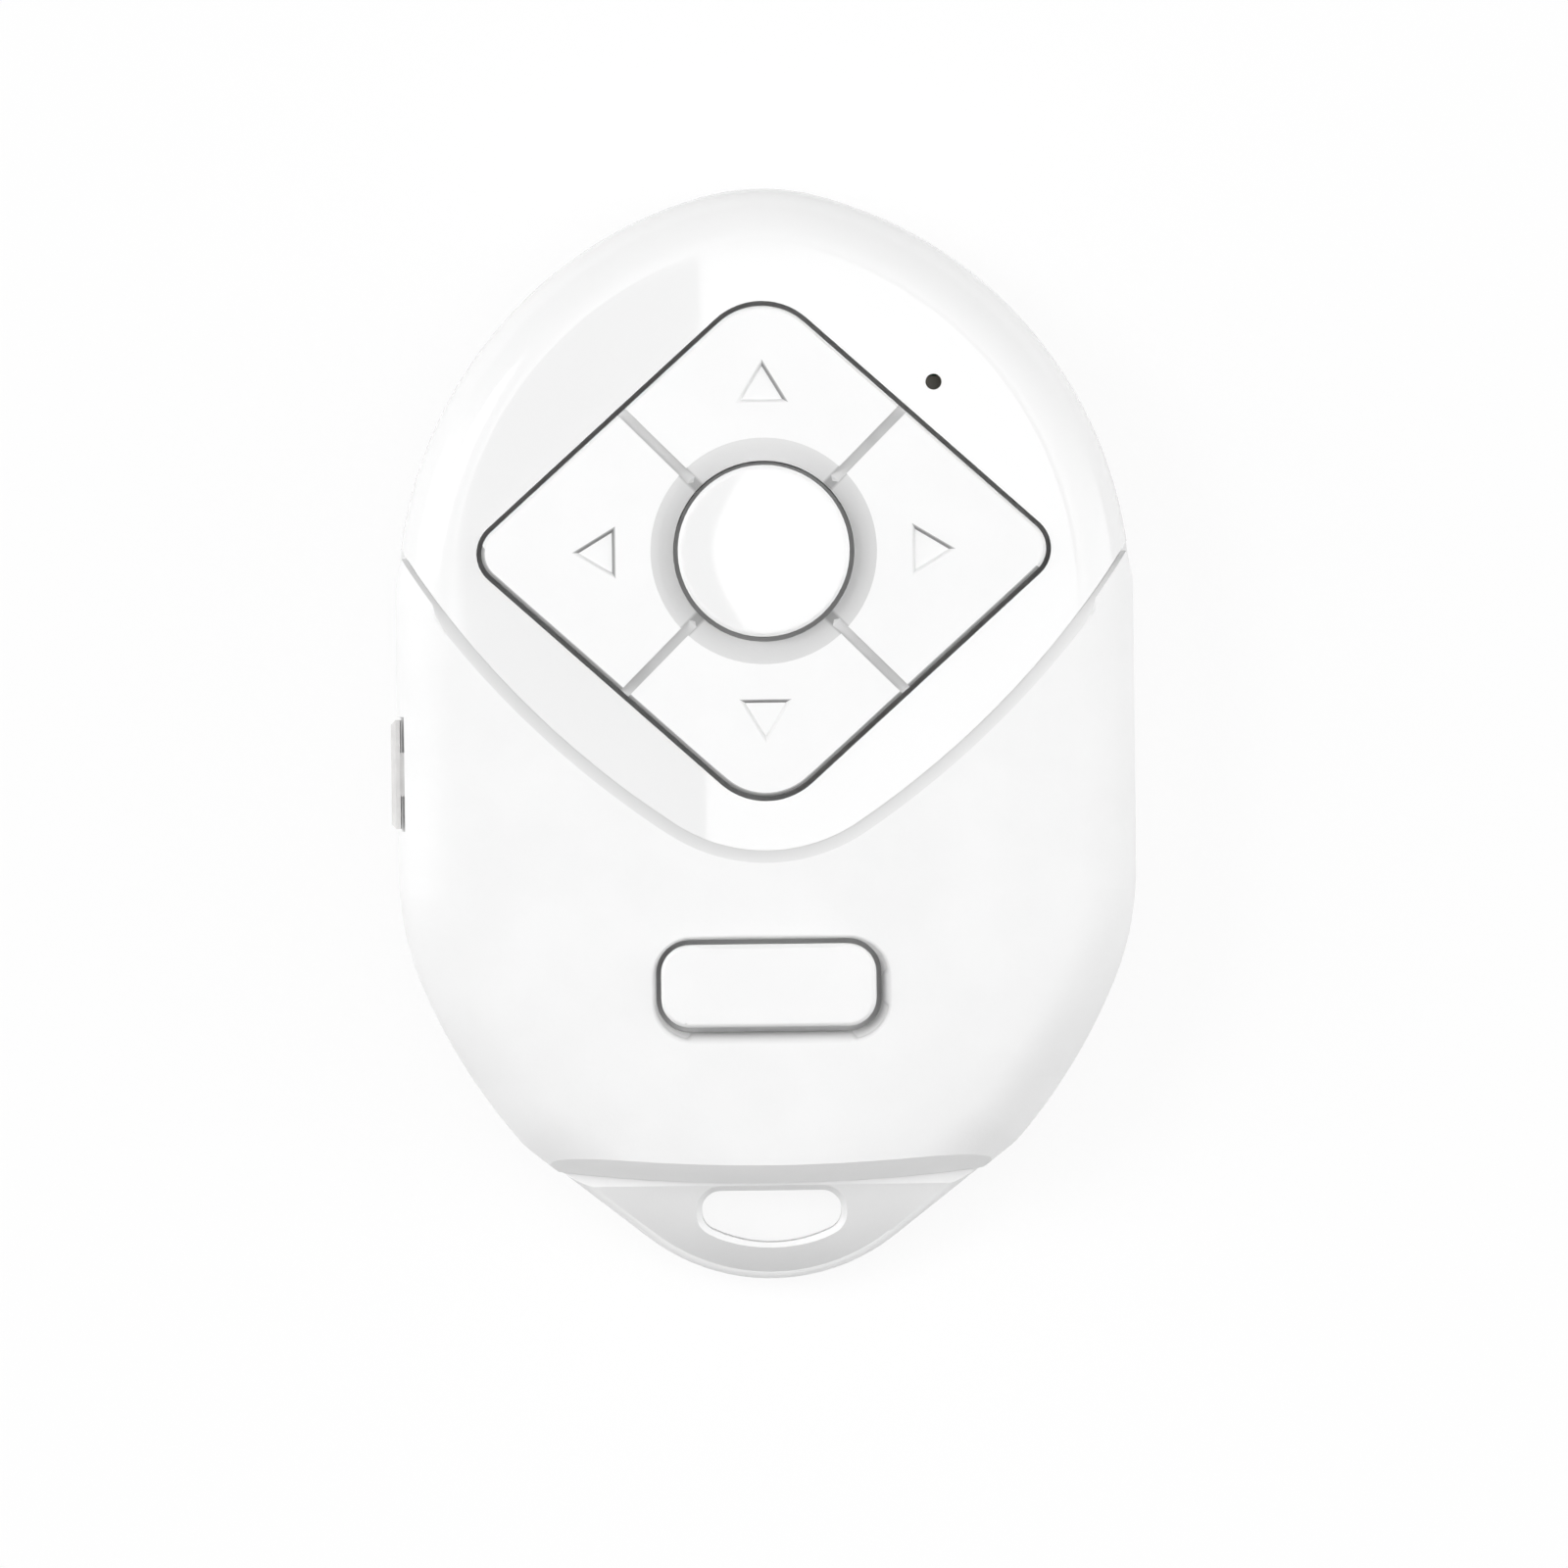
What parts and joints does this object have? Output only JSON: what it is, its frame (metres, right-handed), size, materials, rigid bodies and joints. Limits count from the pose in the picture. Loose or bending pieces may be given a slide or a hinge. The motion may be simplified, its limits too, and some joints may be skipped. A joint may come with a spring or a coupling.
{
  "type": "wireless remote control",
  "caption": "Palm-sized egg-shaped remote: glossy domed fascia with a four-way diamond pad and round button, matte lower cover with a bar button, side switch and lanyard tongue.",
  "frame": {"origin": "middle of the flat back, on the surface that the remote lies on", "axes": "+Z out of the front, +Y towards the rounded nose, +X to the right as seen from the front"},
  "size_m": [0.0409, 0.06, 0.012],
  "materials": {
    "gloss_shell": "polished white moulded plastic",
    "matte_shell": "fine spark-eroded matte white",
    "key_plastic": "satin white",
    "silicone": "translucent grey silicone",
    "board": "green solder mask on glass-fibre laminate",
    "steel": "nickel-plated sheet",
    "cell_steel": "stainless can",
    "contact_metal": "nickel-plated spring sheet",
    "copper": "copper trace",
    "black_resin": "black moulded resin",
    "crystal_can": "plain can",
    "capacitor": "fired ceramic",
    "light_resin": "clear cast resin"
  },
  "bodies": {
    "housing": {"back_case": "matte_shell", "front_fascia": "gloss_shell", "front_cover": "matte_shell", "circuit_board": "board", "board_screws": "steel", "coin_cell": "cell_steel", "negative_contact": "contact_metal", "positive_contact": "contact_metal", "power_switch_frame": "steel", "status_light": "light_resin", "radio_chip": "black_resin", "timing_crystal": "crystal_can", "chip_capacitors": "capacitor", "board_antenna": "copper", "centre_switch_base": "black_resin", "centre_switch_cover": "steel", "centre_snap_spring": "steel", "lower_switch_base": "black_resin", "lower_switch_cover": "steel", "lower_snap_spring": "steel", "up_switch_base": "black_resin", "up_switch_cover": "steel", "up_snap_spring": "steel", "down_switch_base": "black_resin", "down_switch_cover": "steel", "down_snap_spring": "steel", "left_switch_base": "black_resin", "left_switch_cover": "steel", "left_snap_spring": "steel", "right_switch_base": "black_resin", "right_switch_cover": "steel", "right_snap_spring": "steel"},
    "pad_cushion": {"pad_cushion": "silicone"},
    "direction_pad": {"direction_pad": "key_plastic"},
    "centre_button": {"centre_button": "gloss_shell", "centre_plunger": "black_resin"},
    "lower_button": {"lower_button": "key_plastic", "lower_plunger": "black_resin"},
    "power_knob": {"power_knob": "key_plastic", "power_switch_lever": "black_resin"},
    "battery_door": {"battery_door": "matte_shell"},
    "up_plunger": {"up_plunger": "black_resin"},
    "down_plunger": {"down_plunger": "black_resin"},
    "left_plunger": {"left_plunger": "black_resin"},
    "right_plunger": {"right_plunger": "black_resin"}
  },
  "joints": [
    {"name": "pad_tilt_up_down", "type": "hinge", "parent": "housing", "child": "pad_cushion", "pos_m": [0, 0.01004, 0.0086], "axis": [1, 0, 0], "range_deg": [-1.2, 1.2], "stiffness_Nm_per_rad": 0.06},
    {"name": "pad_tilt_left_right", "type": "hinge", "parent": "pad_cushion", "child": "direction_pad", "pos_m": [0, 0.01004, 0.0086], "axis": [0, 1, 0], "range_deg": [-1.2, 1.2], "stiffness_Nm_per_rad": 0.06},
    {"name": "centre_press", "type": "slide", "parent": "housing", "child": "centre_button", "axis": [0, 0, -1], "range_m": [0, 0.00025], "stiffness_N_per_m": 600},
    {"name": "lower_press", "type": "slide", "parent": "housing", "child": "lower_button", "axis": [0, 0, -1], "range_m": [0, 0.00025], "stiffness_N_per_m": 600},
    {"name": "up_plunger_press", "type": "slide", "parent": "housing", "child": "up_plunger", "axis": [0, 0, -1], "range_m": [0, 0.00025], "stiffness_N_per_m": 300},
    {"name": "down_plunger_press", "type": "slide", "parent": "housing", "child": "down_plunger", "axis": [0, 0, -1], "range_m": [0, 0.00025], "stiffness_N_per_m": 300},
    {"name": "left_plunger_press", "type": "slide", "parent": "housing", "child": "left_plunger", "axis": [0, 0, -1], "range_m": [0, 0.00025], "stiffness_N_per_m": 300},
    {"name": "right_plunger_press", "type": "slide", "parent": "housing", "child": "right_plunger", "axis": [0, 0, -1], "range_m": [0, 0.00025], "stiffness_N_per_m": 300},
    {"name": "power_slide", "type": "slide", "parent": "housing", "child": "power_knob", "axis": [0, -1, 0], "range_m": [0, 0.0015]},
    {"name": "door_turn", "type": "hinge", "parent": "housing", "child": "battery_door", "pos_m": [0, 0, 0.001], "axis": [0, 0, 1], "range_deg": [0, 40]}
  ]
}
